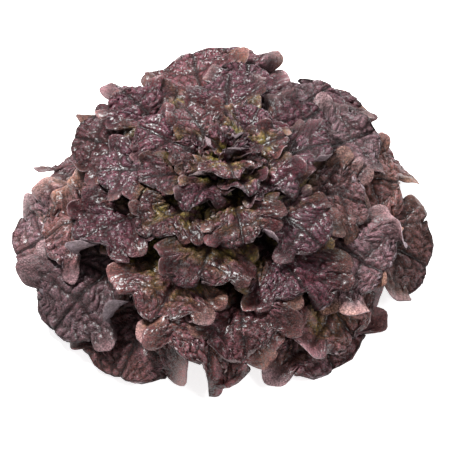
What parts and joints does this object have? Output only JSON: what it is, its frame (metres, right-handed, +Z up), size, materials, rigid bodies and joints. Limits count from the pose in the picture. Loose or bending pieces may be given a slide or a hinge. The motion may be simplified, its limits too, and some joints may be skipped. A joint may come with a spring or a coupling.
{
  "type": "oak leaf lettuce",
  "caption": "Loose head of red oak leaf lettuce: broad lobed leaves overlapping in a low dome round a small heart, on a short cut stem it rests on.",
  "frame": {"origin": "middle of the stem's cut face, which is the spot the head rests on", "axes": "+Z up along the stem towards the heart; the picture looks along +Y and down"},
  "size_m": [0.2961, 0.2972, 0.0964],
  "materials": {
    "leaf": "waxy",
    "heart": "waxy",
    "stem": "matte"
  },
  "bodies": {
    "root": {"leaf_01": "leaf", "leaf_02": "leaf", "leaf_03": "leaf", "leaf_04": "leaf", "leaf_05": "leaf", "leaf_06": "leaf", "leaf_07": "leaf", "leaf_08": "leaf", "leaf_09": "leaf", "leaf_10": "leaf", "leaf_11": "leaf", "leaf_12": "leaf", "leaf_13": "leaf", "leaf_14": "leaf", "leaf_15": "leaf", "leaf_16": "leaf", "leaf_17": "leaf", "leaf_18": "leaf", "leaf_19": "leaf", "leaf_20": "leaf", "leaf_21": "leaf", "leaf_22": "leaf", "leaf_23": "leaf", "leaf_24": "leaf", "leaf_25": "leaf", "leaf_26": "leaf", "leaf_27": "leaf", "leaf_28": "leaf", "leaf_29": "leaf", "leaf_30": "leaf", "leaf_31": "leaf", "leaf_32": "leaf", "leaf_33": "leaf", "leaf_34": "leaf", "leaf_35": "leaf", "leaf_36": "leaf", "heart": "heart", "stem": "stem"}
  },
  "joints": []
}
